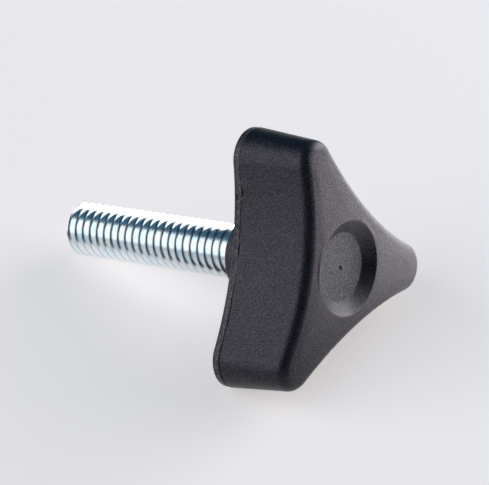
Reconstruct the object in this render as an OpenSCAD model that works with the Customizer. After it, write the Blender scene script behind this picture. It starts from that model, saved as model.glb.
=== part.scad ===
// Three-lobe handwheel: a moulded plastic head on a steel screw.
// Modelled lying as it comes to rest: on the rims of its two lower lobes and
// on the end of its screw, with the third lobe up. +X runs from the screw
// towards the head, +Z is up, and the origin is under the middle of the part.

/* [Lobes] */
// Distance from the axis to the centre of each rounded lobe tip
lobe_centre_r = 12.2; // [11.8:0.1:14]
// Radius of each lobe tip at the parting line
lobe_tip_r = 3.2; // [2.9:0.1:3.6]
// Distance from the axis to the middle of each hollow side at the parting line
waist_r = 7.8; // [7.5:0.1:8]

/* [Head] */
// Height of the head from its base to the middle of its crowned top
head_h = 9.8; // [9.5:0.1:14]
// Radius of the crowned top face
crown_r = 125; // [80:5:400]
// Rounding between the walls and the top face
top_edge_r = 1.25; // [0.8:0.05:1.4]
// Taper of the walls above the parting line, in degrees
wall_draft = 4.5; // [1:0.5:6]
// Height of the parting line above the base
parting_h = 0.95; // [0.8:0.05:1.6]
// Taper of the rim below the parting line, in degrees
rim_draft = 3; // [1:0.5:5]
// Rounding of the base edge
base_edge_r = 0.4; // [0.2:0.05:0.6]

/* [Recess in the top] */
// Diameter of the recess at the top face
recess_rim_d = 10.2; // [9:0.1:11]
// Diameter of its flat floor
recess_floor_d = 7.4; // [6:0.1:8.5]
// Depth of the floor below the middle of the top face
recess_depth = 1.05; // [0.6:0.05:1.3]
// Rounding where the recess wall meets its floor
recess_floor_r = 0.25; // [0.1:0.05:0.4]
// Width of the flat land round the recess, inside the crown
recess_land = 0.3; // [0.2:0.1:0.5]
// Diameter of the gate pip where it leaves the middle of the floor
pip_d = 0.6; // [0.5:0.1:1.2]
// Diameter of the gate pip at its top
pip_top_d = 0.4; // [0.2:0.1:0.5]
// Height of the gate pip
pip_h = 0.18; // [0.1:0.02:0.4]

/* [Hub] */
// Diameter of the hub under the head
hub_d = 8.5; // [7.8:0.1:10]
// Height of the hub, from the base to its seat face
hub_h = 3.5; // [2:0.1:6]
// Rounding of the hub's rim
hub_edge_r = 0.3; // [0.1:0.05:0.6]

/* [Screw] */
// Crest diameter of the thread, which is M6 with a coarse pitch of 1 mm
thread_d = 5.9; // [5.8:0.05:6]
// Diameter at the foot of the thread's grooves
thread_root_d = 4.7; // [4.6:0.05:5]
// Distance from one thread crest to the next
thread_pitch = 1; // [0.8:0.05:1.25]
// Width of the flat on each thread crest
thread_crest = 0.15; // [0.1:0.05:0.3]
// Length of the screw under its hexagon
screw_len = 30; // [25:1:50]
// Length of thread that stands out of the hub
screw_reach = 23.4; // [15:0.1:24]
// Chamfer at the end of the screw
end_chamfer = 0.6; // [0.3:0.05:0.9]
// Diameter of the plain shank between the thread and the hexagon
shank_d = 5.3; // [5:0.05:5.4]
// How far the thread runs on inside the hub
thread_hidden = 0.1; // [0.1:0.1:1]
// Width across the flats of the hexagon moulded into the head
hex_af = 10; // [8:0.5:10]
// Height of the hexagon
hex_h = 4; // [3:0.1:4]
// Gap between the screw and the plastic moulded round it
mould_gap = 0.02; // [0.01:0.01:0.05]

/* [Hidden] */
$fn = 96;
LOBES = 3;
TIP_STEPS = 10;   // facets on half a lobe tip
SIDE_STEPS = 7;   // facets on half a hollow side
WALL_STEPS = 3;   // bands up the wall
EDGE_STEPS = 7;   // bands round the top edge
RIM_STEPS = 4;    // bands round the base edge
TOP_STEPS = 3;    // bands across the crowned top
GROOVE_FOOT = 0.16; // width of a thread groove's foot, as a share of the pitch
OVERLAP = 1;      // how far the hub and the pip root in the head, and cuts run past a surface
half_pitch = 180 / LOBES;

// The hollow side is an arc about a point outside the head. It touches both
// neighbouring tip arcs, which fixes how far out its centre lies.
neck = waist_r - lobe_tip_r;
side_centre_r = (pow(lobe_centre_r, 2) - pow(neck, 2))
    / (2 * (lobe_centre_r * cos(half_pitch) - neck));
side_r = side_centre_r - waist_r;
side_centre = side_centre_r * [cos(half_pitch), sin(half_pitch)];
tip_sweep = atan2(side_centre.y, side_centre.x - lobe_centre_r);

// Inset of the centre of each edge rounding from the parting line outline
base_edge_inset = (parting_h - base_edge_r * (1 - sin(rim_draft))) * tan(rim_draft)
    + base_edge_r * cos(rim_draft);
top_edge_inset = (head_h - top_edge_r * (1 - sin(wall_draft)) - parting_h) * tan(wall_draft)
    + top_edge_r * cos(wall_draft);

// Where the screw lies along the axis, whose zero is the base of the head
seat_z = -hub_h;
screw_end_z = seat_z - screw_reach;
hex_z = screw_end_z + screw_len;
recess_floor_z = head_h - recess_depth;
land_r = recess_rim_d / 2 + recess_land;

// Resting pose: the tilt at which the base rims of the two lower lobes and the
// chamfered end of the screw touch the same plane.
rim_drop = lobe_centre_r * cos(half_pitch) + lobe_tip_r - base_edge_inset;
screw_arm = base_edge_r - screw_end_z - end_chamfer;
drop_difference = rim_drop - thread_d / 2;
tilt = atan2(drop_difference, screw_arm)
    + asin(base_edge_r / norm([screw_arm, drop_difference]));
base_height = rim_drop * cos(tilt) + base_edge_r * (1 - sin(tilt));

// Outline of one lobe at the parting line, as [point, outward direction] pairs
function tip_point(a) = [[lobe_centre_r, 0] + lobe_tip_r * [cos(a), sin(a)], [cos(a), sin(a)]];
function side_point(b) = [side_centre + side_r * [cos(b), sin(b)], -[cos(b), sin(b)]];
function side_angle(i) = 180 + tip_sweep - (tip_sweep - half_pitch) * i / SIDE_STEPS;
function flipped(p) = [[p[0].x, -p[0].y], [p[1].x, -p[1].y]];
lobe_outline = [
    for (i = [SIDE_STEPS - 1:-1:1]) flipped(side_point(side_angle(i))),
    for (i = [-TIP_STEPS:TIP_STEPS]) tip_point(tip_sweep * i / TIP_STEPS),
    for (i = [1:SIDE_STEPS]) side_point(side_angle(i))
];

// The same outline repeated for every lobe
function turned(v, a) = [v.x * cos(a) - v.y * sin(a), v.x * sin(a) + v.y * cos(a)];
head_outline = [
    for (k = [0:LOBES - 1], p = lobe_outline)
        [turned(p[0], 2 * half_pitch * k), turned(p[1], 2 * half_pitch * k)]
];

// Section of the rim from the base to the top, as [inset, height] pairs
wall_top = head_h - top_edge_r * (1 - sin(wall_draft));
head_section = [
    for (i = [0:RIM_STEPS]) let (a = -90 + (90 - rim_draft) * i / RIM_STEPS)
        [base_edge_inset - base_edge_r * cos(a), base_edge_r * (1 + sin(a))],
    [0, parting_h],
    for (i = [1:WALL_STEPS]) let (z = parting_h + (wall_top - parting_h) * i / WALL_STEPS)
        [(z - parting_h) * tan(wall_draft), z],
    for (i = [1:EDGE_STEPS]) let (a = wall_draft + (90 - wall_draft) * i / EDGE_STEPS)
        [top_edge_inset - top_edge_r * cos(a), head_h - top_edge_r * (1 - sin(a))]
];

// The crown lowers a point by how far it lies outside the flat land, fading
// to nothing at the parting line.
function crown_drop(p) = max(0, p * p - pow(land_r, 2)) / (2 * crown_r);
function crowned(p, z) = [p.x, p.y,
    z - crown_drop(p) * max(0, z - parting_h) / (head_h - parting_h)];
function ring(inset, z) = [for (p = head_outline) crowned(p[0] - inset * p[1], z)];

// Rings across the top, from the edge rounding in to the round land
function top_ring(share) = [
    for (p = head_outline) let (q = p[0] - top_edge_inset * p[1])
        crowned((1 - share) * q + share * land_r * q / norm(q), head_h)
];
head_rings = [
    for (s = head_section) ring(s[0], s[1]),
    for (i = [1:TOP_STEPS]) top_ring(i / TOP_STEPS)
];

// Reach of the part along the plane it lies on, at its screw and its head
near_x = screw_end_z * cos(tilt) - (thread_d / 2 - end_chamfer) * sin(tilt);
far_x = max([for (r = head_rings, p = r) p.z * cos(tilt) - p.x * sin(tilt)]);

// Tapered, round-edged body of the head, lofted through its rings
module lobed_body() {
    n = len(head_outline);
    last = len(head_rings) - 1;
    points = [for (r = head_rings, p = r) p];
    sides = [
        for (j = [0:last - 1], i = [0:n - 1]) let (k = (i + 1) % n)
            [j * n + i, (j + 1) * n + i, (j + 1) * n + k],
        for (j = [0:last - 1], i = [0:n - 1]) let (k = (i + 1) % n)
            [j * n + i, (j + 1) * n + k, j * n + k]
    ];
    base = [for (i = [0:n - 1]) i];
    land = [for (i = [n - 1:-1:0]) last * n + i];
    polyhedron(points = points, faces = concat(sides, [base, land]));
}

// Shallow dish in the top face, with a sloping wall and a rounded floor edge
module recess() {
    slope = (recess_rim_d - recess_floor_d) / 2 / recess_depth;
    cut_h = recess_depth + OVERLAP;
    rotate_extrude()
        difference() {
            translate([0, recess_floor_z])
                polygon([
                    [0, 0],
                    [recess_floor_d / 2, 0],
                    [recess_floor_d / 2 + slope * cut_h, cut_h],
                    [0, cut_h]
                ]);
            floor_edge(slope);
        }
}

// What the rounding at the foot of the recess wall leaves standing
module floor_edge(slope) {
    wall_angle = atan2(1, slope);
    back = recess_floor_r * tan(wall_angle / 2);
    centre = [recess_floor_d / 2 - back, recess_floor_z + recess_floor_r];
    difference() {
        polygon([
            [centre.x, recess_floor_z],
            [recess_floor_d / 2, recess_floor_z],
            [centre.x + recess_floor_r * sin(wall_angle), centre.y - recess_floor_r * cos(wall_angle)],
        ]);
        translate(centre) circle(recess_floor_r);
    }
}

// Small round pip left by the gate, rooted in the middle of the recess floor
module gate_pip() {
    rotate_extrude()
        translate([0, recess_floor_z])
            polygon([
                [0, -OVERLAP],
                [pip_d / 2, -OVERLAP],
                [pip_d / 2, 0],
                [pip_top_d / 2, pip_h],
                [0, pip_h]
            ]);
}

// Round hub under the head, with a rounded rim at its seat face
module hub() {
    rotate_extrude() {
        translate([0, seat_z + hub_edge_r])
            square([hub_d / 2, hub_h + OVERLAP - hub_edge_r]);
        translate([0, seat_z])
            square([hub_d / 2 - hub_edge_r, hub_edge_r + OVERLAP]);
        translate([hub_d / 2 - hub_edge_r, seat_z + hub_edge_r])
            circle(hub_edge_r);
    }
}

// Screw with a hexagon at its inner end. The gap grows it, so that the same
// form cuts its own seat in the plastic.
module screw(gap) {
    rotate_extrude()
        polygon([
            [0, screw_end_z - gap],
            [thread_d / 2 - end_chamfer + gap, screw_end_z - gap],
            [thread_d / 2 + gap, screw_end_z + end_chamfer - gap],
            [thread_d / 2 + gap, seat_z + thread_hidden + gap],
            [shank_d / 2 + gap, seat_z + thread_hidden + gap],
            [shank_d / 2 + gap, hex_z],
            [0, hex_z]
        ]);
    translate([0, 0, hex_z - gap])
        cylinder(h = hex_h + 2 * gap, d = (hex_af + 2 * gap) / cos(30), $fn = 6);
}

// Grooves of the thread, as rings one pitch apart. They leave a crest at the
// hub and run down to the free end.
module thread_grooves() {
    top_z = seat_z + thread_hidden;
    groove_w = thread_pitch - thread_crest;
    foot_w = GROOVE_FOOT * thread_pitch;
    count = floor((top_z - screw_end_z) / thread_pitch);
    rotate_extrude()
        for (k = [1:count])
            translate([0, top_z - k * thread_pitch])
                polygon([
                    [thread_root_d / 2, (groove_w - foot_w) / 2],
                    [thread_d / 2, 0],
                    [thread_d / 2 + OVERLAP, 0],
                    [thread_d / 2 + OVERLAP, groove_w],
                    [thread_d / 2, groove_w],
                    [thread_root_d / 2, (groove_w + foot_w) / 2]
                ]);
}

// Turns the part from its own axis into its resting pose
module at_rest() {
    translate([-(near_x + far_x) / 2, 0, base_height])
        rotate([0, 90 - tilt, 0])
            rotate([0, 0, 180])
                children();
}

module lobed_head() {
    color("#3c3b42")
        at_rest()
            difference() {
                union() {
                    difference() {
                        lobed_body();
                        recess();
                    }
                    gate_pip();
                    hub();
                }
                screw(mould_gap);
            }
}

module threaded_stud() {
    color("#b9c6cf")
        at_rest()
            difference() {
                screw(0);
                thread_grooves();
            }
}

lobed_head();
threaded_stud();
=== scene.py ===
"""Looks for the three-lobe handwheel: a moulded nylon head on a zinc-plated
screw, lying on a pale table under plain studio lamps."""

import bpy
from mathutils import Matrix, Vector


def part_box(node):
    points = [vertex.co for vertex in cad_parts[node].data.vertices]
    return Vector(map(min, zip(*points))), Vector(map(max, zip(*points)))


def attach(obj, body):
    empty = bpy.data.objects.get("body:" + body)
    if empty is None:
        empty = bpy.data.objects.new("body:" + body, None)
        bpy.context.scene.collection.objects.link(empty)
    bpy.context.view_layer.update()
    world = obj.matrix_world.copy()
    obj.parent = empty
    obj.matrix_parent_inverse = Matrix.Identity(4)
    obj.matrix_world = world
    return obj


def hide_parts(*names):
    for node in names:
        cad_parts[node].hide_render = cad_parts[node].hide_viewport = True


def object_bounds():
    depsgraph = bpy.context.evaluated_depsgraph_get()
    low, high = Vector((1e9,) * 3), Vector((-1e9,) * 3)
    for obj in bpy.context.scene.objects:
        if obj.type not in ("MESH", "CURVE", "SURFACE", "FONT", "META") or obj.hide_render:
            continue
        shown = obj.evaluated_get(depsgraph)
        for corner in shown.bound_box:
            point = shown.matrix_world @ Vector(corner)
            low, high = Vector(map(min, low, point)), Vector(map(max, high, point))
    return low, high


bl_info = {
    "name": "Three-lobe handwheel",
    "version": (1, 0, 0),
    "blender": (4, 5, 0),
    "location": "3D View > Sidebar > Handwheel",
    "description": "Builds the lobed head, its threaded screw and a plain studio",
    "category": "Object",
}

import math

import bpy
import numpy as np
from mathutils import Matrix, Vector

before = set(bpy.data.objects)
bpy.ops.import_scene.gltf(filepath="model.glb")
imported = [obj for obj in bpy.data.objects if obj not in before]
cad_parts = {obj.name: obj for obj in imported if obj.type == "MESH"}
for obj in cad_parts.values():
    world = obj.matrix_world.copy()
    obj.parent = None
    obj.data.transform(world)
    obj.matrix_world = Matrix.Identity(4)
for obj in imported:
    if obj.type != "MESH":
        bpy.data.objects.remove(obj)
CAD_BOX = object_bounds()

MM = 0.001
BODY = "root"
SEED = 7
# Edges that turn by more than this stay sharp where the rest is shaded smooth
SHARP = math.radians(42)

# Facets: along half a lobe tip, along half a hollow side, round the screw, and
# along each turn of its thread
TIP_STEPS = 32
SIDE_STEPS = 72
SCREW_STEPS = 96
ROWS_PER_TURN = 24


def linear(code):
    """An sRGB hex colour as the linear colour that Blender works in."""
    parts = [int(code[i:i + 2], 16) / 255 for i in (1, 3, 5)]
    return tuple(c / 12.92 if c <= 0.04045 else ((c + 0.055) / 1.055) ** 2.4 for c in parts)


def length(name, mm, description):
    """A size in millimetres as a property that Blender shows as a length."""
    return bpy.props.FloatProperty(
        name=name, description=description, default=mm * MM, unit="LENGTH", precision=5)


def colour(name, code, description):
    """A colour property from an sRGB hex colour."""
    return bpy.props.FloatVectorProperty(
        name=name, description=description, default=linear(code), subtype="COLOR",
        min=0, max=1)


def share(name, value, description):
    """A plain number from 0 to 1."""
    return bpy.props.FloatProperty(
        name=name, description=description, default=value, subtype="FACTOR", min=0, max=1)


def power(name, watts, description):
    """A lamp's power in watts."""
    return bpy.props.FloatProperty(
        name=name, description=description, default=watts, min=0, unit="POWER")


def degrees(name, value, description):
    """An angle property from a value in degrees."""
    return bpy.props.FloatProperty(
        name=name, description=description, default=math.radians(value), unit="ROTATION")


class HandwheelHead(bpy.types.PropertyGroup):
    """Sizes of the moulded head. They match the solid part, which leaves out the
    sag, the softened lip and the flash groove."""

    lobe_centre: length("Lobe centre", 12.2, "From the axis to the centre of each lobe tip")
    lobe_tip: length("Lobe tip radius", 3.2, "Radius of each lobe tip at the parting line")
    waist: length("Waist", 7.8, "From the axis to the middle of each hollow side")
    height: length("Height", 9.8, "From the base to the middle of the crowned top")
    crown: length("Crown radius", 125, "Radius of the crowned top face")
    top_edge: length("Top edge radius", 1.25, "Rounding between walls and top face")
    edge_sag: length("Edge sag", 0.07, "How far the top face sinks at its edge")
    edge_blend: length("Edge blend", 2.2, "How far in from the edge it sinks")
    wall_draft: degrees("Wall draft", 4.5, "Taper of the walls above the parting line")
    parting: length("Parting height", 0.95, "Height of the parting line above the base")
    rim_draft: degrees("Rim draft", 3, "Taper of the rim below the parting line")
    base_edge: length("Base edge radius", 0.4, "Rounding of the base edge")
    recess_rim: length("Recess diameter", 10.2, "Diameter of the recess at the top face")
    recess_floor: length("Recess floor", 7.4, "Diameter of the recess floor")
    recess_depth: length("Recess depth", 1.05, "Depth of the floor below the top face")
    recess_foot: length("Recess foot radius", 0.25, "Rounding where wall meets floor")
    recess_lip: length("Recess lip radius", 0.2, "Softening of the recess rim")
    recess_land: length("Recess land", 0.3, "Flat land round the recess")
    pip_foot: length("Pip foot", 0.6, "Diameter of the gate pip at the floor")
    pip_top: length("Pip top", 0.4, "Diameter of the gate pip at its top")
    pip_height: length("Pip height", 0.18, "Height of the gate pip")
    hub: length("Hub diameter", 8.5, "Diameter of the hub under the head")
    hub_height: length("Hub height", 3.5, "From the base to the seat face")
    hub_edge: length("Hub edge radius", 0.3, "Rounding of the hub's rim")
    flash_width: length("Flash groove width", 0.2, "Width of the groove behind the flash")
    flash_depth: length("Flash groove depth", 0.2, "Full depth of that groove")


class HandwheelScrew(bpy.types.PropertyGroup):
    """Sizes of the moulded-in screw. They match the solid part, apart from the
    crest's flat."""

    crest: length("Crest diameter", 5.9, "Diameter over the thread's crests")
    root: length("Root diameter", 4.7, "Diameter at the thread's roots")
    pitch: length("Pitch", 1, "Distance from one turn to the next")
    crest_flat: length("Crest flat", 0.065, "Width of the flat on each rounded crest")
    length: length("Screw length", 30, "Length under the hexagon")
    reach: length("Reach", 23.4, "Length of thread that stands out of the hub")
    chamfer: length("End chamfer", 0.6, "Chamfer at the free end")
    shank: length("Shank diameter", 5.3, "Plain shank between thread and hexagon")
    hidden: length("Hidden thread", 0.1, "How far the thread runs on inside the hub")
    hexagon: length("Hexagon", 10, "Width across the flats of the hexagon")
    hexagon_height: length("Hexagon height", 4, "Height of the hexagon")
    gap: length("Mould gap", 0.02, "Gap between the screw and the plastic")


class HandwheelFinish(bpy.types.PropertyGroup):
    """Colours and surface of the two finishes."""

    plastic: colour("Plastic", "#100f13", "Black nylon with a faint cool cast")
    plastic_pale: colour("Plastic fibres", "#37353d", "Glass fibres near the skin")
    # Colour of the eroded finish, also put on one side of the recess wall as a painted highlight
    dish: colour("Recess floor", "#272629", "Spark-eroded floor and rim")
    dish_pale: colour("Rubbed floor", "#94928c", "Where the eroded skin is rubbed pale")
    plastic_sheen: colour("Plastic sheen", "#f8efff", "Faint violet cast of its gloss")
    plastic_roughness: share("Plastic roughness", 0.34, "Matt moulded skin")
    grain: length("Grain", 0.11, "Width of the moulded grain, coarser than the real one")
    zinc: colour("Zinc", "#f3f8fa", "Bright zinc plating")
    zinc_blue: colour("Passivated zinc", "#e2f1f8", "Zinc under a blue passivation")
    zinc_warm: colour("Warm zinc", "#f0f4e0", "Zinc where the passivation is thinner")
    zinc_root: colour("Thread root", "#d0cecc", "Plating down in the thread's roots")
    # Painted shade: the dark line along each crest stands in for the dark that the crest mirrors
    zinc_crest_shade: colour("Crest fold", "#5e5c5a", "Fine fold that rolling leaves on the crest")
    zinc_roughness: share("Zinc roughness", 0.18, "Rolled and plated skin")


class HandwheelStage(bpy.types.PropertyGroup):
    """Camera, lamps and table."""

    camera: bpy.props.FloatVectorProperty(
        name="Camera", description="Where the camera stands", unit="LENGTH",
        default=(0.17685, -0.24194, 0.22043), precision=5)
    aim: bpy.props.FloatVectorProperty(
        name="Aim", description="Point that the camera looks at", unit="LENGTH",
        default=(0.00334, 0.00104, 0.00846), precision=5)
    roll: degrees("Roll", -1.473, "Turn of the camera about its own view")
    lens: bpy.props.FloatProperty(
        name="Lens", description="Focal length in millimetres", default=251.08,
        unit="CAMERA")
    table: colour("Table", "#e4dfde", "Pale table top")
    key_power: power("Key lamp", 1.78, "Wide low softbox on the camera's right")
    back_power: power("Back lamp", 0.65, "Small low softbox behind, on the right")
    fill_power: power("Fill lamp", 1.75, "Wide softbox on the camera's left")
    glow: share("Table glow", 0.58, "Light that the table gives of itself")
    # Strength of the painted reflection: how much brighter mirrors see the table's glow in the
    # strip towards the key lamp
    shine: bpy.props.FloatProperty(
        name="Table shine", default=4.8, min=0,
        description="How much brighter a mirror sees the table towards the key lamp")
    room: colour("Room", "#21485f", "Dim bluish room round the lamps")


GROUPS = {
    "handwheel_head": HandwheelHead,
    "handwheel_screw": HandwheelScrew,
    "handwheel_finish": HandwheelFinish,
    "handwheel_stage": HandwheelStage,
}


def add_node(tree, kind, settings=None, inputs=None):
    """Adds a node, sets it up, and gives its inputs their values or links."""
    node = tree.nodes.new(kind)
    for name, value in (settings or {}).items():
        setattr(node, name, value)
    for key, value in (inputs or {}).items():
        if isinstance(value, bpy.types.NodeSocket):
            tree.links.new(value, node.inputs[key])
        else:
            node.inputs[key].default_value = value
    return node


# ---------------------------------------------------------------- the frame

def resting_pose(head, screw):
    """The turn and shift that lay the part on two lobes and its screw's end."""
    inset = ((head.parting - head.base_edge * (1 - math.sin(head.rim_draft)))
             * math.tan(head.rim_draft) + head.base_edge * math.cos(head.rim_draft))
    drop = head.lobe_centre / 2 + head.lobe_tip - inset
    arm = head.base_edge + head.hub_height + screw.reach - screw.chamfer
    difference = drop - screw.crest / 2
    tilt = (math.atan2(difference, arm)
            + math.asin(head.base_edge / math.hypot(arm, difference)))
    height = drop * math.cos(tilt) + head.base_edge * (1 - math.sin(tilt))
    near = (-(head.hub_height + screw.reach) * math.cos(tilt)
            - (screw.crest / 2 - screw.chamfer) * math.sin(tilt))
    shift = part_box("threaded_stud")[0].x - near
    return Matrix((
        (-math.sin(tilt), 0, math.cos(tilt), shift),
        (0, -1, 0, 0),
        (math.cos(tilt), 0, math.sin(tilt), height),
        (0, 0, 0, 1)))


def finished(mesh, name, pose, material, node):
    """Makes a mesh into a piece that stands for a CAD node."""
    mesh.transform(pose)
    mesh.name = name
    mesh.shade_smooth()
    mesh.set_sharp_from_angle(angle=SHARP)
    if not mesh.materials:
        mesh.materials.append(material)
    piece = bpy.data.objects.new(name, mesh)
    bpy.context.scene.collection.objects.link(piece)
    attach(piece, BODY)
    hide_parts(node)


# ----------------------------------------------------------------- the head

def lobed_outline(head):
    """Points and outward normals of the parting line outline, three lobes."""
    c, r = head.lobe_centre, head.lobe_tip
    neck = head.waist - r
    reach = (c * c - neck * neck) / (2 * (c / 2 - neck))
    side_r = reach - head.waist
    centre = reach * np.array([0.5, math.sqrt(3) / 2])
    sweep = math.atan2(centre[1], centre[0] - c)
    a = np.linspace(-sweep, sweep, 2 * TIP_STEPS + 1)
    tip_normal = np.stack([np.cos(a), np.sin(a)], 1)
    tip = np.array([c, 0]) + r * tip_normal
    b = np.linspace(math.pi + sweep, math.radians(240), SIDE_STEPS + 1)[1:]
    side_normal = -np.stack([np.cos(b), np.sin(b)], 1)
    side = centre - side_r * side_normal
    mirror = np.array([1, -1])
    points = np.vstack([(side * mirror)[-2::-1], tip, side])
    normals = np.vstack([(side_normal * mirror)[-2::-1], tip_normal, side_normal])
    turns = [np.array([[math.cos(t), math.sin(t)], [-math.sin(t), math.cos(t)]])
             for t in np.radians([0, 120, 240])]
    return (np.vstack([points @ t for t in turns]), np.vstack([normals @ t for t in turns]))


def round_noise(random, knots, count):
    """Smooth random values from -1 to 1 that close up round the outline."""
    values = random.uniform(-1, 1, knots)
    at = np.arange(count) * knots / count
    low = np.floor(at).astype(int)
    mix = at - low
    mix = mix * mix * (3 - 2 * mix)
    return values[low % knots] * (1 - mix) + values[(low + 1) % knots] * mix


def waviness(random, waves, count):
    """Smooth random unevenness, as a sum of waves of so many knots and such a swing."""
    return sum(round_noise(random, knots, count) * swing for knots, swing in waves)


def window(s, start, end, soft):
    """1 between two places on the outline, fading to 0 over a soft length."""
    return np.clip((s - start) / soft, 0, 1) * np.clip((end - s) / soft, 0, 1)


# Places on the outline are counted in lobes from the middle of the first tip.
# Where the groove behind the flash runs, and how deep as a share of its full
# depth, which only the chip goes beyond
FLASH_RUNS = (
    (0.06, 0.22, 0.3), (0.236, 0.274, 1.3), (0.285, 0.44, 0.55), (0.446, 0.5, 0.9),
    (0.56, 0.66, 0.5), (0.655, 0.8, 0.75), (0.8, 1.06, 0.95), (1.12, 1.3, 0.4),
    (1.42, 1.77, 0.6), (1.9, 2.08, 0.8), (2.2, 2.42, 0.35), (2.5, 2.83, 0.6),
    (2.9, 2.97, 0.9),
)
# Where a chip breaks the parting line, and how far it rises there in millimetres
CHIP = (0.236, 0.274)
CHIP_RISE = 0.16
# A nick in the edge of the top face, and its depth in millimetres
EDGE_NICK = (1.318, 1.334)
NICK_DEPTH = 0.22
# The run of the top edge that came rough from the mould
ROUGH_EDGE = (2.2, 2.66)
# The run of the rim that handling has worn
WORN_RIM = (0.2, 0.56)
# The side of the recess wall where a painted highlight is strongest, put on as the paler eroded
# finish, as an angle round the axis
SHEEN_SIDE = math.radians(150)
SHEEN_MOST = 0.35

# Uneven lines: knots round the outline, and swing in millimetres or as a share
EDGE_WAVES = ((170, 0.010), (420, 0.006))
ROUGH_WAVES = ((260, 0.035),)
GROOVE_WAVES = ((260, 0.25),)
PARTING_WAVES = ((90, 0.035), (330, 0.02))
FIN_WAVES = ((400, 0.02),)
BURR_KNOTS = 380
# Height of the burr on the sound rim, and what wear adds to it, in millimetres
BURR, BURR_WORN = 0.03, 0.14

# Rings of the gate pip's domed top: radius and height as shares of the top's own
PIP_DOME = ((0.2, 1.0), (0.5, 0.9), (0.8, 0.7), (1.0, 0.5))
# Rings of the top face, as shares of the way in from its edge to the land
TOP_RINGS = (0.9, 0.75, 0.6, 0.48, 0.38, 0.3, 0.23, 0.17, 0.12, 0.08, 0.04, 0.0)
# Rings of the flash groove from its top down: place and depth as shares
GROOVE_RINGS = ((1.0, 0.0), (0.9, 0.12), (0.7, 0.9), (0.45, 1.0), (0.2, 0.9), (0.06, 0.3))
# Rings of the fin of flash: millimetres below the groove, share of the fin's own
# inset from the outline, and millimetres further in
FIN_RINGS = ((0.02, 1.0, 0.0), (0.09, 0.6, 0.0), (0.13, 1.0, 0.03))
# How far the groove starts above the parting line, how far the wall's last ring
# stays above the groove, and the fin's inset, in millimetres
GROOVE_RISE, WALL_STOP, FIN_INSET = 0.03, 0.12, 0.02
# Share of eroded skin on the fin, which is duller than the wall
FIN_DISH = 0.8


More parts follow.
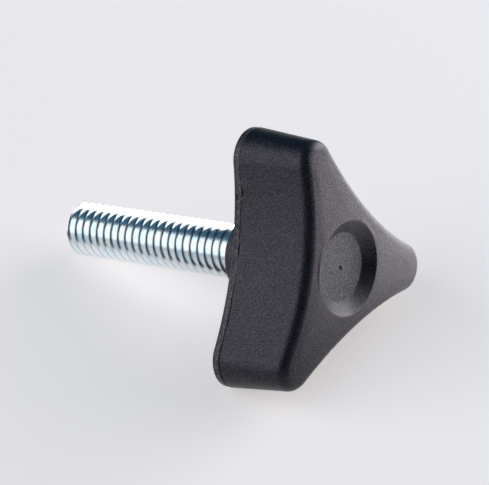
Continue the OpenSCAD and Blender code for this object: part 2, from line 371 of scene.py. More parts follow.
def head_rings(head, screw):
    """The head's skin as closed rings, from the gate pip out and down to the
    hub and back up its bore. Each comes with its share of eroded skin, and on
    one side of the recess wall that share is a painted highlight."""
    outline, normal = lobed_outline(head)
    count = len(outline)
    angle = np.arctan2(outline[:, 1], outline[:, 0])
    unit = np.stack([np.cos(angle), np.sin(angle)], 1)
    random = np.random.default_rng(SEED)
    step = np.linalg.norm(np.roll(outline, -1, 0) - outline, axis=1)
    start = np.argmax(outline[:, 0])
    along = np.concatenate([[0], np.cumsum(step)[:-1]])
    s = ((along - along[start]) / step.sum() * 3) % 3

    rings = []

    def add(flat, z, dish=0.0):
        z = np.broadcast_to(z, count)
        rings.append((np.column_stack([flat, z]), np.broadcast_to(dish, count)))

    def circle(r, z, dish=0.0):
        add(unit * r, z, dish)

    top = head.height
    land = head.recess_rim / 2 + head.recess_land
    wall_tan = math.tan(head.wall_draft)
    wall_top = top - head.top_edge * (1 - math.sin(head.wall_draft))
    edge_inset = ((wall_top - head.parting) * wall_tan
                  + head.top_edge * math.cos(head.wall_draft))
    rim_tan = math.tan(head.rim_draft)
    base_inset = ((head.parting - head.base_edge * (1 - math.sin(head.rim_draft))) * rim_tan
                  + head.base_edge * math.cos(head.rim_draft))

    def crowned(flat, z, sag=0.0):
        drop = np.maximum(0, (flat ** 2).sum(1) - land ** 2) / (2 * head.crown) + sag
        return z - drop * np.maximum(0, z - head.parting) / (top - head.parting)

    # Gate pip and recess floor
    floor_z = top - head.recess_depth
    pip_r, tip_r = head.pip_foot / 2, head.pip_top / 2
    for r, z in PIP_DOME:
        circle(tip_r * r, floor_z + head.pip_height * z, 1.0)
    circle((pip_r + tip_r) / 2, floor_z + head.pip_height * 0.25, 1.0)
    circle(pip_r, floor_z + head.pip_height * 0.04, 1.0)
    floor_r = head.recess_floor / 2
    for r in np.linspace(pip_r * 1.25, floor_r * 0.9, 8):
        circle(r, floor_z, 1.0)

    # Recess wall between its rounded foot and its softened lip. On one side the paler eroded
    # finish runs up it as a painted highlight
    rubbed = SHEEN_MOST * np.clip(2.2 * np.cos(angle - SHEEN_SIDE) - 1, 0, 1)
    run = (head.recess_rim - head.recess_floor) / 2
    slope = math.atan2(head.recess_depth, run)
    back = head.recess_foot * math.tan(slope / 2)
    for a in np.linspace(0, slope, 6):
        circle(floor_r - back + head.recess_foot * math.sin(a),
               floor_z + head.recess_foot * (1 - math.cos(a)), 1 - (1 - rubbed) * a / slope)
    lip_back = head.recess_lip * math.tan(slope / 2)
    for t in (0.3, 0.5, 0.7, 0.85):
        circle(floor_r + run * t, floor_z + head.recess_depth * t, rubbed)
    for a in np.linspace(slope, 0, 6):
        circle(head.recess_rim / 2 + lip_back - head.recess_lip * math.sin(a),
               top - head.recess_lip * (1 - math.cos(a)), rubbed * a / slope)
    circle(land, top)

    # Crowned top face, out to the edge rounding
    inner = outline - edge_inset * normal
    inner_r = np.linalg.norm(inner, axis=1, keepdims=True)
    width = (inner_r - land)[:, 0]
    for t in TOP_RINGS:
        flat = (1 - t) * inner + t * land * inner / inner_r
        near_edge = np.maximum(0, 1 - t * width / head.edge_blend)
        add(flat, crowned(flat, top, head.edge_sag * near_edge ** 2))

    # Edge rounding, with a nick and one run that came rough from the mould
    lumps = waviness(random, EDGE_WAVES, count)
    rough = window(s, *ROUGH_EDGE, soft=0.05) * waviness(random, ROUGH_WAVES, count)
    lumps = (lumps + rough) * MM
    nick = window(s, *EDGE_NICK, soft=0.008) * NICK_DEPTH * MM
    for a in np.linspace(math.pi / 2, head.wall_draft, 15):
        # Lumps bulge high up on the rounding, and the nick is deepest half way down
        bulge = math.sin(min(1, (math.pi / 2 - a) * 1.6) * math.pi)
        inset = edge_inset - head.top_edge * math.cos(a) + lumps * bulge
        inset = inset + nick * math.sin((math.pi / 2 - a) * 2)
        flat = outline - inset[:, None] * normal
        add(flat, crowned(flat, top - head.top_edge * (1 - math.sin(a)), head.edge_sag))

    # Wall down to the flash groove
    runs = np.zeros(count)
    for first, last, deep in FLASH_RUNS:
        runs = np.maximum(runs, deep * window(s, first, last, soft=0.008))
    ragged = 0.75 + waviness(random, GROOVE_WAVES, count)
    groove = head.flash_depth * runs * ragged
    groove_w = head.flash_width * (0.55 + 0.45 * np.minimum(1, runs))
    chip = window(s, *CHIP, soft=0.006) * CHIP_RISE
    wander = (waviness(random, PARTING_WAVES, count) + chip) * MM
    fin = (FIN_INSET + waviness(random, FIN_WAVES, count)) * MM
    low = head.parting + GROOVE_RISE * MM + wander
    high = low + groove_w
    for t in np.linspace(0, 1, 10)[1:]:
        z = wall_top + (high + WALL_STOP * MM - wall_top) * t
        flat = outline - ((z - head.parting) * wall_tan)[:, None] * normal
        add(flat, crowned(flat, z, head.edge_sag))
    for t, deep in GROOVE_RINGS:
        z = low + (high - low) * t
        inset = (z - head.parting) * wall_tan + groove * deep
        flat = outline - inset[:, None] * normal
        add(flat, crowned(flat, z))

    # Fin of flash, the rim below it, worn in one run, and the base edge
    worn = window(s, *WORN_RIM, soft=0.03)
    for below, uneven, inward in FIN_RINGS:
        rim_top, rim_inset = low - below * MM, inward * MM
        add(outline - (rim_inset + fin * uneven)[:, None] * normal, rim_top, FIN_DISH)
    rim_foot = head.base_edge * (1 - math.sin(head.rim_draft))
    for t in (0.3, 0.65):
        z = rim_top * (1 - t) + rim_foot * t
        burr = np.abs(round_noise(random, BURR_KNOTS, count)) * (BURR + BURR_WORN * worn) * MM
        inset = (head.parting - z) * rim_tan + rim_inset * (1 - t) + burr
        add(outline - inset[:, None] * normal, z, 1.0)
    for a in np.linspace(-head.rim_draft, -math.pi / 2, 8):
        add(outline - (base_inset - head.base_edge * math.cos(a)) * normal,
            head.base_edge * (1 + math.sin(a)))

    # Underside, hub and its seat face
    under = outline - base_inset * normal
    under_r = np.linalg.norm(under, axis=1, keepdims=True)
    hub_r, fillet = head.hub / 2, head.hub_edge
    for t in np.linspace(0, 1, 9)[1:]:
        add((1 - t) * under + t * (hub_r + fillet) * under / under_r, 0.0)
    for a in np.linspace(0, math.pi / 2, 6)[1:]:
        circle(hub_r + fillet * (1 - math.sin(a)), -fillet * (1 - math.cos(a)))
    for a in np.linspace(0, math.pi / 2, 7):
        circle(hub_r - fillet * (1 - math.cos(a)),
               -head.hub_height + fillet * (1 - math.sin(a)))
    thread_r = screw.crest / 2 + screw.gap
    shank_r = screw.shank / 2 + screw.gap
    circle((hub_r + thread_r) / 2, -head.hub_height)

    # Bore round the screw, and the seat of its hexagon
    shoulder = -head.hub_height + screw.hidden + screw.gap
    hexagon_z = screw.length - head.hub_height - screw.reach
    flats = (screw.hexagon / 2 + screw.gap) / np.cos(
        np.mod(angle, math.pi / 3) - math.pi / 6)
    circle(thread_r, -head.hub_height)
    circle(thread_r, shoulder)
    circle(shank_r, shoulder)
    circle(shank_r, hexagon_z - screw.gap)
    add(unit * flats[:, None], hexagon_z - screw.gap)
    add(unit * flats[:, None], hexagon_z + screw.hexagon_height + screw.gap)
    return rings


def skin_over(rings):
    """One closed mesh through the rings, with a point at each end."""
    count = len(rings[0][0])
    first = np.array([[0, 0, rings[0][0][0, 2]]])
    last = np.array([[0, 0, rings[-1][0][0, 2]]])
    points = np.vstack([first] + [ring for ring, _ in rings] + [last])
    a = np.arange(count)
    b = (a + 1) % count
    faces = [np.stack([np.zeros(count, int), 1 + a, 1 + b], 1).tolist()]
    for j in range(len(rings) - 1):
        upper, lower = 1 + j * count, 1 + (j + 1) * count
        faces.append(np.stack([upper + a, lower + a, lower + b, upper + b], 1).tolist())
    end = 1 + (len(rings) - 1) * count
    faces.append(np.stack([end + a, np.full(count, len(points) - 1), end + b], 1).tolist())
    mesh = bpy.data.meshes.new("skin")
    mesh.from_pydata(points.tolist(), [], [f for band in faces for f in band])
    dish = np.concatenate([rings[0][1][:1]] + [eroded for _, eroded in rings] + [[0]])
    attribute = mesh.attributes.new("dish", "FLOAT", "POINT")
    attribute.data.foreach_set("value", dish.astype(np.float32))
    return mesh


# ---------------------------------------------------------------- the screw

# Rounding of the thread's crests and roots, as shares of the pitch
CREST_ROUND, ROOT_ROUND = 0.02, 0.03
# Rings that make the shoulder, the plain shank and the hexagon
STACK_RINGS = 6
# Points closer together than this, in metres, become one
MERGE = 1e-6


def thread_radius_tree():
    """Node group: the thread's radius at a turn share round it and a height."""
    tree = bpy.data.node_groups.new("Thread radius", "GeometryNodeTree")
    for name in ("Turn", "Height", "Crest", "Root", "Pitch", "Flat", "Chamfer"):
        tree.interface.new_socket(name, in_out="INPUT", socket_type="NodeSocketFloat")
    tree.interface.new_socket("Radius", in_out="OUTPUT", socket_type="NodeSocketFloat")
    given = add_node(tree, "NodeGroupInput").outputs
    got = {socket.name: socket for socket in given if socket.name}
    # A right-hand helix: the profile depends on the height less the turn
    steps = (
        ("heights", "DIVIDE", "Height", "Pitch"),
        ("phase", "SUBTRACT", "heights", "Turn"),
        ("part", "FRACT", "phase"),
        ("centred", "SUBTRACT", "part", 0.5),
        ("aside", "ABSOLUTE", "centred"),
        ("distance", "MULTIPLY", "aside", "Pitch"),
        ("half_flat", "MULTIPLY", "Flat", 0.5),
        ("past_flat", "SUBTRACT", "half_flat", "distance"),
        # The flanks lean 30 degrees, so the radius falls by root 3 for each step along
        ("flank", "MULTIPLY_ADD", "past_flat", math.sqrt(3), "Crest"),
        ("crest_round", "MULTIPLY", "Pitch", CREST_ROUND),
        ("root_round", "MULTIPLY", "Pitch", ROOT_ROUND),
        ("crested", "SMOOTH_MIN", "flank", "Crest", "crest_round"),
        ("rooted", "SMOOTH_MAX", "crested", "Root", "root_round"),
        # The chamfer of the free end, which stands at height 0
        ("end", "SUBTRACT", "Crest", "Chamfer"),
        ("cone", "ADD", "end", "Height"),
        ("radius", "MINIMUM", "rooted", "cone"),
    )
    for name, operation, *terms in steps:
        inputs = {i: got.get(term, term) for i, term in enumerate(terms)}
        got[name] = add_node(tree, "ShaderNodeMath", {"operation": operation}, inputs).outputs[0]
    add_node(tree, "NodeGroupOutput", inputs={"Radius": got["radius"]})
    return tree


def screw_tree():
    """Node tree: a rolled thread, its plain shank and the hexagon at its end,
    standing on z = 0 by its free end."""
    tree = bpy.data.node_groups.new("Hexagon screw", "GeometryNodeTree")
    for name, kind in (
            ("Crest", "Float"), ("Root", "Float"), ("Pitch", "Float"), ("Flat", "Float"),
            ("Chamfer", "Float"), ("Thread", "Float"), ("Shank", "Float"),
            ("Hexagon Height", "Float"), ("Hexagon Width", "Float"), ("Length", "Float"),
            ("Columns", "Int"), ("Rows", "Int"), ("Material", "Material")):
        tree.interface.new_socket(name, in_out="INPUT", socket_type="NodeSocket" + kind)
    tree.interface.new_socket("Geometry", in_out="OUTPUT", socket_type="NodeSocketGeometry")
    given = {s.name: s for s in add_node(tree, "NodeGroupInput").outputs if s.name}
    radius_tree = thread_radius_tree()
    place = add_node(tree, "GeometryNodeInputPosition").outputs[0]
    flat = add_node(tree, "ShaderNodeSeparateXYZ", inputs={0: place}).outputs
    got = dict(given, x=flat[0], y=flat[1])
    steps = (
        # The thread is a grid sheared along its own helix and cut off at both ends
        ("length_turns", "DIVIDE", "Thread", "Pitch"),
        ("whole_turns", "CEIL", "length_turns"),
        ("turns", "ADD", "whole_turns", 1),
        ("rows", "MULTIPLY", "turns", "Rows"),
        ("row_points", "ADD", "rows", 1),
        ("column_points", "ADD", "Columns", 1),
        ("turn", "ADD", "x", 0.5),
        ("up", "ADD", "y", 0.5),
        ("climb", "MULTIPLY_ADD", "up", "turns", "turn"),
        ("from_end", "SUBTRACT", "climb", 1),
        ("rise", "MULTIPLY", "from_end", "Pitch"),
        ("above", "MAXIMUM", "rise", 0),
        ("height", "MINIMUM", "above", "Thread"),
        # The hexagon's radius round the axis, and the rings of the plain stack
        ("angle", "MULTIPLY", "turn", math.tau),
        ("in_flat", "MODULO", "angle", math.pi / 3),
        ("off_middle", "SUBTRACT", "in_flat", math.pi / 6),
        ("lean", "COSINE", "off_middle"),
        ("half_width", "MULTIPLY", "Hexagon Width", 0.5),
        ("hexagon", "DIVIDE", "half_width", "lean"),
        ("hexagon_top", "ADD", "Length", "Hexagon Height"),
        ("row", "MULTIPLY", "up", STACK_RINGS - 1),
        # Where round the axis a point of the end face lies
        ("bearing", "ARCTAN2", "y", "x"),
        ("bearing_turns", "DIVIDE", "bearing", math.tau),
        ("disc_turn", "FRACT", "bearing_turns"),
        # How deep a point lies in the thread, for the plating's colour
        ("xx", "MULTIPLY", "x", "x"),
        ("rr", "MULTIPLY_ADD", "y", "y", "xx"),
        ("r", "SQRT", "rr"),
        ("below", "SUBTRACT", "Crest", "r"),
        ("whole", "SUBTRACT", "Crest", "Root"),
        ("depth", "DIVIDE", "below", "whole"),
    )
    for name, operation, *terms in steps:
        inputs = {i: got.get(term, term) for i, term in enumerate(terms)}
        got[name] = add_node(tree, "ShaderNodeMath", {"operation": operation}, inputs).outputs[0]

    def thread_radius(turn, height):
        inputs = {"Turn": turn, "Height": height}
        inputs.update({n: given[n] for n in ("Crest", "Root", "Pitch", "Flat", "Chamfer")})
        return add_node(
            tree, "GeometryNodeGroup", {"node_tree": radius_tree}, inputs).outputs[0]

    def wrapped(geometry, turn, radius, height):
        around = add_node(tree, "ShaderNodeMath", {"operation": "MULTIPLY"},
                          {0: turn, 1: math.tau}).outputs[0]
        sides = []
        for operation in ("COSINE", "SINE"):
            wave = add_node(tree, "ShaderNodeMath", {"operation": operation},
                            {0: around}).outputs[0]
            sides.append(add_node(tree, "ShaderNodeMath", {"operation": "MULTIPLY"},
                                  {0: wave, 1: radius}).outputs[0])
        where = add_node(tree, "ShaderNodeCombineXYZ",
                         inputs={0: sides[0], 1: sides[1], 2: height}).outputs[0]
        return add_node(tree, "GeometryNodeSetPosition",
                        inputs={"Geometry": geometry, "Position": where}).outputs[0]

    grid = add_node(tree, "GeometryNodeMeshGrid", inputs={
        "Size X": 1, "Size Y": 1, "Vertices X": got["column_points"],
        "Vertices Y": got["row_points"]}).outputs[0]
    thread = wrapped(grid, got["turn"], thread_radius(got["turn"], got["height"]),
                     got["height"])

    # Shoulder, plain shank and hexagon go on from the thread's last ring
    row = add_node(tree, "FunctionNodeFloatToInt", {"rounding_mode": "ROUND"},
                   {0: got["row"]}).outputs[0]
    last_ring = thread_radius(got["turn"], given["Thread"])
    picked = []
    for values in (
            (last_ring, given["Shank"], given["Shank"], got["hexagon"], got["hexagon"], 0.0),
            (given["Thread"], given["Thread"], given["Length"], given["Length"],
             got["hexagon_top"], got["hexagon_top"])):
        switch = add_node(tree, "GeometryNodeIndexSwitch", {"data_type": "FLOAT"}, {0: row})
        while len(switch.index_switch_items) < len(values):
            switch.index_switch_items.new()
        for i, value in enumerate(values):
            if isinstance(value, bpy.types.NodeSocket):
                tree.links.new(value, switch.inputs[i + 1])
            else:
                switch.inputs[i + 1].default_value = value
        picked.append(switch.outputs[0])
    stack = add_node(tree, "GeometryNodeMeshGrid", inputs={
        "Size X": 1, "Size Y": 1, "Vertices X": got["column_points"],
        "Vertices Y": STACK_RINGS}).outputs[0]
    shank = wrapped(stack, got["turn"], picked[0], picked[1])

    # Flat face of the free end
    disc = add_node(tree, "GeometryNodeMeshCircle", {"fill_type": "NGON"},
                    {"Vertices": given["Columns"], "Radius": 1.0}).outputs[0]
    face = wrapped(disc, got["disc_turn"], thread_radius(got["disc_turn"], 0.0), 0.0)
    face = add_node(tree, "GeometryNodeFlipFaces", inputs={0: face}).outputs[0]

    joined = add_node(tree, "GeometryNodeJoinGeometry")
    for part in (face, shank, thread):
        tree.links.new(part, joined.inputs[0])
    merged = add_node(tree, "GeometryNodeMergeByDistance",
                      inputs={"Geometry": joined.outputs[0], "Distance": MERGE}).outputs[0]
    marked = add_node(tree, "GeometryNodeStoreNamedAttribute",
                      {"data_type": "FLOAT", "domain": "POINT"},
                      {"Geometry": merged, "Name": "thread_depth",
                       "Value": got["depth"]}).outputs[0]
    real = add_node(tree, "GeometryNodeRealizeInstances", inputs={0: marked}).outputs[0]
    painted = add_node(tree, "GeometryNodeSetMaterial",
                       inputs={"Geometry": real, "Material": given["Material"]}).outputs[0]
    add_node(tree, "NodeGroupOutput", inputs={"Geometry": painted})
    return tree


def modelled(tree, values):
    """Runs a node tree with the named values and gives its result as a mesh."""
    carrier = bpy.data.objects.new("carrier", bpy.data.meshes.new("carrier"))
    bpy.context.scene.collection.objects.link(carrier)
    modifier = carrier.modifiers.new("nodes", "NODES")
    modifier.node_group = tree
    for item in tree.interface.items_tree:
        if item.item_type == "SOCKET" and item.in_out == "INPUT":
            modifier[item.identifier] = values[item.name]
    graph = bpy.context.evaluated_depsgraph_get()
    mesh = bpy.data.meshes.new_from_object(carrier.evaluated_get(graph))
    carrier.modifiers.clear()
    bpy.data.objects.remove(carrier)
    return mesh


# ------------------------------------------------------------- the finishes

def new_material(name):
    """A material with its shader linked to the output, and the piece's own
    coordinates counted in millimetres."""
    material = bpy.data.materials.new(name)
    material.use_nodes = True
    tree = material.node_tree
    tree.nodes.clear()
    shader = add_node(tree, "ShaderNodeBsdfPrincipled")
    add_node(tree, "ShaderNodeOutputMaterial", inputs={"Surface": shader.outputs[0]})
    place = add_node(tree, "ShaderNodeTexCoord").outputs["Object"]
    mm = add_node(tree, "ShaderNodeMapping",
                  inputs={"Vector": place, "Scale": (1 / MM,) * 3}).outputs[0]
    return material, tree, shader, mm


def glass_filled_nylon(finish):
    """Black glass-filled nylon, injection moulded in a spark-eroded tool. The
    fine matt grain spreads highlights wide and breaks them into specks, and
    short glass fibres near the skin show as faint pale flecks."""
    material, tree, shader, mm = new_material("Glass-filled nylon, moulded black")
    # The real grain is about 0.05 mm wide and the fibres 0.01 mm thick. Both are
    # drawn as coarse as they need to be to show
    grain_scale = MM / finish.grain
    grain = add_node(tree, "ShaderNodeTexNoise", inputs={
        "Vector": mm, "Scale": grain_scale, "Detail": 3.0, "Roughness": 0.6}).outputs[0]
    # Flow marks a few millimetres wide, from the filling of the mould
    flow = add_node(tree, "ShaderNodeTexNoise", inputs={
        "Vector": mm, "Scale": 0.35, "Detail": 2.0, "Roughness": 0.5}).outputs[0]
    flecks = add_node(tree, "ShaderNodeTexNoise", inputs={
        "Vector": mm, "Scale": grain_scale, "Detail": 1.0, "Roughness": 0.5}).outputs[0]
    dish = add_node(tree, "ShaderNodeAttribute", {"attribute_name": "dish"}).outputs["Fac"]

    fleck_share = add_node(tree, "ShaderNodeMapRange", inputs={
        "Value": flecks, "From Min": 0.5, "From Max": 0.66}).outputs[0]
    body = add_node(tree, "ShaderNodeMix", {"data_type": "RGBA"}, {
        "Factor": fleck_share, 6: (*finish.plastic, 1), 7: (*finish.plastic_pale, 1)}).outputs[2]
    # The spark-eroded recess floor and rim are rubbed pale here and there
    rubs = add_node(tree, "ShaderNodeTexNoise", inputs={
        "Vector": mm, "Scale": grain_scale * 0.75, "Detail": 2.0, "Roughness": 0.7}).outputs[0]
    rub_share = add_node(tree, "ShaderNodeMapRange", inputs={
        "Value": rubs, "From Min": 0.5, "From Max": 0.66}).outputs[0]
    pad = add_node(tree, "ShaderNodeMix", {"data_type": "RGBA"}, {
        "Factor": rub_share, 6: (*finish.dish, 1), 7: (*finish.dish_pale, 1)}).outputs[2]
    # The eroded finish, which on one side of the recess wall is a painted highlight
    dish_and_sheen_colour = add_node(tree, "ShaderNodeMix", {"data_type": "RGBA"}, {
        "Factor": dish, 6: body, 7: pad}).outputs[2]
    tree.links.new(dish_and_sheen_colour, shader.inputs["Base Color"])

    roughness = add_node(tree, "ShaderNodeMapRange", inputs={
        "Value": flow, "From Min": 0.3, "From Max": 0.7,
        "To Min": finish.plastic_roughness - 0.03,
        "To Max": finish.plastic_roughness + 0.03}).outputs[0]
    tree.links.new(roughness, shader.inputs["Roughness"])
    shader.inputs["IOR"].default_value = 1.5
    shader.inputs["Specular Tint"].default_value = (*finish.plastic_sheen, 1)

    # The grain's pits shade themselves, so they mirror less than its tops do
    mirror = add_node(tree, "ShaderNodeMapRange", inputs={
        "Value": grain, "From Min": 0.36, "From Max": 0.64, "To Min": 0.22,
        "To Max": 0.76}).outputs[0]
    tree.links.new(mirror, shader.inputs["Specular IOR Level"])
    # The tool was eroded coarser for the recess floor and the rim than for the walls
    depth = add_node(tree, "ShaderNodeMapRange", inputs={
        "Value": dish, "To Min": 0.35, "To Max": 0.75}).outputs[0]
    skin = add_node(tree, "ShaderNodeBump", inputs={
        "Height": grain, "Strength": depth, "Distance": 0.09 * MM}).outputs[0]
    waves = add_node(tree, "ShaderNodeBump", inputs={
        "Height": flow, "Strength": 0.4, "Distance": 0.05 * MM, "Normal": skin}).outputs[0]
    tree.links.new(waves, shader.inputs["Normal"])
    return material


def zinc_plated_steel(finish):
    """Steel screw with a rolled thread, bright zinc plated and blue
    passivated. The plating is silvery, its clear film turns it ice blue with
    straw patches, and a painted dark line along every crest stands in for the
    dark that the crest mirrors. The thread's roots are darker."""
    material, tree, shader, mm = new_material("Zinc-plated steel, blue passivated")
    # Patches of the film are a millimetre or so wide. Specks of the plating are
    # finer than the 0.17 mm at which they are drawn so that they show
    patches = add_node(tree, "ShaderNodeTexNoise", inputs={
        "Vector": mm, "Scale": 0.9, "Detail": 3.0, "Roughness": 0.6}).outputs[0]
    specks = add_node(tree, "ShaderNodeTexNoise", inputs={
        "Vector": mm, "Scale": 6.0, "Detail": 2.0, "Roughness": 0.6}).outputs[0]
    depth = add_node(tree, "ShaderNodeAttribute",
                     {"attribute_name": "thread_depth"}).outputs["Fac"]
    tint = add_node(tree, "ShaderNodeValToRGB", inputs={"Fac": patches})
    ramp = tint.color_ramp
    ramp.elements[0].position, ramp.elements[0].color = 0.4, (*finish.zinc_blue, 1)
    ramp.elements[1].position, ramp.elements[1].color = 0.8, (*finish.zinc_warm, 1)
    ramp.elements.new(0.6).color = (*finish.zinc, 1)
    # Painted shade: a dark line along each crest stands in for the dark that the crest mirrors,
    # and the roots are darker
    rooted = add_node(tree, "ShaderNodeMapRange", inputs={
        "Value": depth, "From Min": 0.93, "From Max": 1.0}).outputs[0]
    crest_shaded = add_node(tree, "ShaderNodeMapRange", inputs={
        "Value": depth, "From Min": 0.05, "From Max": 0.0}).outputs[0]
    plated = add_node(tree, "ShaderNodeMix", {"data_type": "RGBA"}, {
        "Factor": rooted, 6: tint.outputs[0], 7: (*finish.zinc_root, 1)}).outputs[2]
    plated = add_node(tree, "ShaderNodeMix", {"data_type": "RGBA"}, {
        "Factor": crest_shaded, 6: plated, 7: (*finish.zinc_crest_shade, 1)}).outputs[2]
    tree.links.new(plated, shader.inputs["Base Color"])
    shader.inputs["Metallic"].default_value = 1.0
    roughness = add_node(tree, "ShaderNodeMapRange", inputs={
        "Value": specks, "From Min": 0.3, "From Max": 0.7,
        "To Min": finish.zinc_roughness - 0.05,
        "To Max": finish.zinc_roughness + 0.07}).outputs[0]
    tree.links.new(roughness, shader.inputs["Roughness"])
    skin = add_node(tree, "ShaderNodeBump", inputs={
        "Height": specks, "Strength": 0.1, "Distance": 0.02 * MM}).outputs[0]
    tree.links.new(skin, shader.inputs["Normal"])
    return material


# What a mirror sees of the table, painted into its glow: a painted reflection,
# as a bright strip out towards the key lamp, and a painted dark patch on the
# camera's side. Each edge has its direction from the origin in degrees, from +X
# towards +Y, and the millimetres that way over which it goes from none to all
PAINTED_SHEEN_STRIP = ((38, 20, 35), (-52, -60, -35), (-52, 26, -6))
PAINTED_DARK_PATCH = ((-52, 14, 34), (38, -120, -50))


def table_top(stage):
    """Pale acrylic table top. It glows evenly to the eye and takes the shadows of
    the lamps. Mirrors see a painted reflection in its glow: brighter in a strip
    out towards the key lamp, standing in for the table's sheen, and a painted
    dark patch on the camera's side."""
    material = bpy.data.materials.new("Table top, pale acrylic")
    material.use_nodes = True
    tree = material.node_tree
    tree.nodes.clear()
    path = add_node(tree, "ShaderNodeLightPath").outputs
    place = add_node(tree, "ShaderNodeTexCoord").outputs["Object"]
    shares = []
    for edges in (PAINTED_SHEEN_STRIP, PAINTED_DARK_PATCH):
        inside = 1.0
        for azimuth, start, end in edges:
            a = math.radians(azimuth)
            out = add_node(tree, "ShaderNodeVectorMath", {"operation": "DOT_PRODUCT"}, {
                0: place, 1: (math.cos(a), math.sin(a), 0)}).outputs["Value"]
            edge = add_node(tree, "ShaderNodeMapRange", inputs={
                "Value": out, "From Min": start * MM, "From Max": end * MM}).outputs[0]
            inside = add_node(tree, "ShaderNodeMath", {"operation": "MULTIPLY"}, {
                0: edge, 1: inside}).outputs[0]
        shares.append(inside)
    # Only mirrors see the painted reflection and the painted dark patch
    steps = (
        ("lit", "MULTIPLY_ADD", shares[0], stage.shine, 1.0),
        ("painted_dark", "SUBTRACT", "lit", shares[1]),
        ("mirrored", "MULTIPLY", "painted_dark", path["Is Glossy Ray"]),
        ("seen", "MAXIMUM", path["Is Camera Ray"], path["Is Transmission Ray"]),
        ("both", "MAXIMUM", "mirrored", "seen"),
        ("strength", "MULTIPLY", "both", stage.glow),
    )
    got = {}
    for name, operation, *terms in steps:
        inputs = {i: got.get(term, term) for i, term in enumerate(terms)}
        got[name] = add_node(tree, "ShaderNodeMath", {"operation": operation}, inputs).outputs[0]
    glow = add_node(tree, "ShaderNodeEmission", inputs={
        "Color": (*stage.table, 1), "Strength": got["strength"]}).outputs[0]
    matt = add_node(tree, "ShaderNodeBsdfDiffuse", inputs={
        "Color": (*stage.table, 1)}).outputs[0]
    both = add_node(tree, "ShaderNodeAddShader", inputs={0: glow, 1: matt}).outputs[0]
    add_node(tree, "ShaderNodeOutputMaterial", inputs={"Surface": both})
    return material


# --------------------------------------------------------------- the studio

# Softboxes: name, the property that holds its power, azimuth from +X towards +Y
# and elevation in degrees, and width and height in metres
LAMPS = (
    ("key_softbox", "key_power", 52, 17, (0.64, 0.36)),
    ("back_softbox", "back_power", 76, 11, (0.28, 0.16)),
    ("fill_softbox", "fill_power", 230, 28, (0.72, 0.54)),
)
# How far the softboxes stand from the part, and half the table's width, in metres
LAMP_DISTANCE = 0.5
TABLE_HALF = 1.5
# The room is lighter high up on this side
LIGHT_SIDE = (-0.5, 0.0, 0.87)


def softbox(name, watts, azimuth, elevation, size, aim):
    """A rectangular softbox that stands off the part and faces it."""
    a, e = math.radians(azimuth), math.radians(elevation)
    place = Vector(aim) + LAMP_DISTANCE * Vector(
        (math.cos(e) * math.cos(a), math.cos(e) * math.sin(a), math.sin(e)))
    lamp = bpy.data.lights.new(name, "AREA")
    lamp.shape = "RECTANGLE"
    lamp.size, lamp.size_y = size
    lamp.energy = watts
    holder = bpy.data.objects.new(name, lamp)
    holder.location = place
    holder.rotation_mode = "QUATERNION"
    holder.rotation_quaternion = (Vector(aim) - place).to_track_quat("-Z", "Y")
    holder.visible_camera = False
    bpy.context.scene.collection.objects.link(holder)


def room(stage):
    """Dim, faintly blue room round the part, which its dark sides mirror."""
    world = bpy.data.worlds.new("Room")
    bpy.context.scene.world = world
    world.use_nodes = True
    tree = world.node_tree
    tree.nodes.clear()
    way = add_node(tree, "ShaderNodeTexCoord").outputs["Generated"]
    high = add_node(tree, "ShaderNodeVectorMath", {"operation": "DOT_PRODUCT"}, {
        0: way, 1: LIGHT_SIDE}).outputs["Value"]
    strength = add_node(tree, "ShaderNodeMapRange", inputs={
        "Value": high, "To Min": 0.55, "To Max": 1.5}).outputs[0]
    sky = add_node(tree, "ShaderNodeBackground", inputs={
        "Color": (*stage.room, 1), "Strength": strength}).outputs[0]
    add_node(tree, "ShaderNodeOutputWorld", inputs={"Surface": sky})


def camera(stage):
    """The camera, looking down on the head's top and one of its hollow sides."""
    data = bpy.data.cameras.new("Camera")
    data.sensor_width = 36
    data.lens = stage.lens
    data.clip_start, data.clip_end = 0.01, 10
    holder = bpy.data.objects.new("Camera", data)
    holder.location = stage.camera
    holder.rotation_mode = "QUATERNION"
    turn = (Vector(stage.aim) - Vector(stage.camera)).to_track_quat("-Z", "Y")
    holder.rotation_quaternion = turn @ Matrix.Rotation(stage.roll, 3, "Z").to_quaternion()
    bpy.context.scene.collection.objects.link(holder)
    bpy.context.scene.camera = holder


# ---------------------------------------------------------------- operators

class HANDWHEEL_OT_head(bpy.types.Operator):
    """Build the moulded head with its recess, flash line and hub"""

    bl_idname = "handwheel.head"
    bl_label = "Lobed head"

    def execute(self, context):
        scene = context.scene
        head, screw = scene.handwheel_head, scene.handwheel_screw
        mesh = skin_over(head_rings(head, screw))
        finished(mesh, "moulded_head", resting_pose(head, screw),
                 glass_filled_nylon(scene.handwheel_finish), "lobed_head")
        return {"FINISHED"}


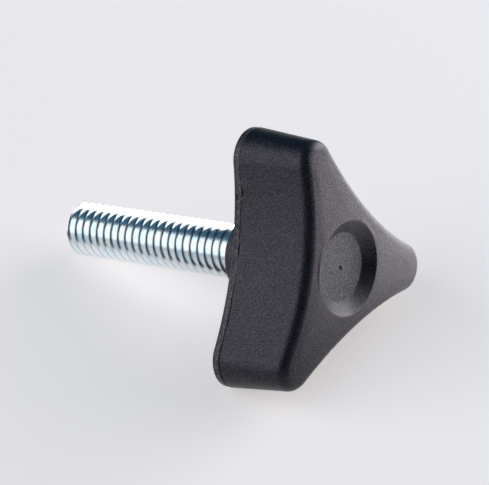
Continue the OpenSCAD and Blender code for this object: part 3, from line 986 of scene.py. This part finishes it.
class HANDWHEEL_OT_screw(bpy.types.Operator):
    """Build the zinc-plated screw with its rolled thread"""

    bl_idname = "handwheel.screw"
    bl_label = "Threaded screw"

    def execute(self, context):
        scene = context.scene
        head, screw = scene.handwheel_head, scene.handwheel_screw
        material = zinc_plated_steel(scene.handwheel_finish)
        mesh = modelled(screw_tree(), {
            "Crest": screw.crest / 2, "Root": screw.root / 2, "Pitch": screw.pitch,
            "Flat": screw.crest_flat, "Chamfer": screw.chamfer,
            "Thread": screw.reach + screw.hidden, "Shank": screw.shank / 2,
            "Hexagon Height": screw.hexagon_height, "Hexagon Width": screw.hexagon,
            "Length": screw.length, "Columns": SCREW_STEPS, "Rows": ROWS_PER_TURN,
            "Material": material})
        if len(mesh.polygons) < SCREW_STEPS * ROWS_PER_TURN:
            raise RuntimeError("the screw's node tree gave too few faces")
        end = Matrix.Translation((0, 0, -head.hub_height - screw.reach))
        finished(mesh, "rolled_screw", resting_pose(head, screw) @ end, material,
                 "threaded_stud")
        return {"FINISHED"}


class HANDWHEEL_OT_stage(bpy.types.Operator):
    """Set up the table, the softboxes, the room and the camera"""

    bl_idname = "handwheel.stage"
    bl_label = "Studio"

    def execute(self, context):
        scene = context.scene
        stage = scene.handwheel_stage
        corners = [(x * TABLE_HALF, y * TABLE_HALF, 0)
                   for x, y in ((-1, -1), (1, -1), (1, 1), (-1, 1))]
        mesh = bpy.data.meshes.new("table")
        mesh.from_pydata(corners, [], [(0, 1, 2, 3)])
        mesh.materials.append(table_top(stage))
        table = bpy.data.objects.new("table", mesh)
        scene.collection.objects.link(table)
        middle = (CAD_BOX[0] + CAD_BOX[1]) / 2
        for name, watts, azimuth, elevation, size in LAMPS:
            softbox(name, getattr(stage, watts), azimuth, elevation, size, middle)
        room(stage)
        camera(stage)
        scene.view_settings.view_transform = "Standard"
        return {"FINISHED"}


class HANDWHEEL_PT_panel(bpy.types.Panel):
    """Sidebar panel with the sizes, the finishes and a button for each piece"""

    bl_idname = "HANDWHEEL_PT_panel"
    bl_label = "Handwheel"
    bl_space_type = "VIEW_3D"
    bl_region_type = "UI"
    bl_category = "Handwheel"

    def draw(self, context):
        for operator in OPERATORS:
            self.layout.operator(operator.bl_idname)
        for group, kind in GROUPS.items():
            box = self.layout.box()
            for name in kind.__annotations__:
                box.prop(getattr(context.scene, group), name)


OPERATORS = (HANDWHEEL_OT_head, HANDWHEEL_OT_screw, HANDWHEEL_OT_stage)


def register():
    for kind in (*GROUPS.values(), *OPERATORS, HANDWHEEL_PT_panel):
        bpy.utils.register_class(kind)
    for group, kind in GROUPS.items():
        setattr(bpy.types.Scene, group, bpy.props.PointerProperty(type=kind))


def unregister():
    for group in GROUPS:
        delattr(bpy.types.Scene, group)
    for kind in reversed((*GROUPS.values(), *OPERATORS, HANDWHEEL_PT_panel)):
        bpy.utils.unregister_class(kind)


def main():
    register()
    bpy.ops.handwheel.head()
    bpy.ops.handwheel.screw()
    bpy.ops.handwheel.stage()


if __name__ == "__main__":
    main()
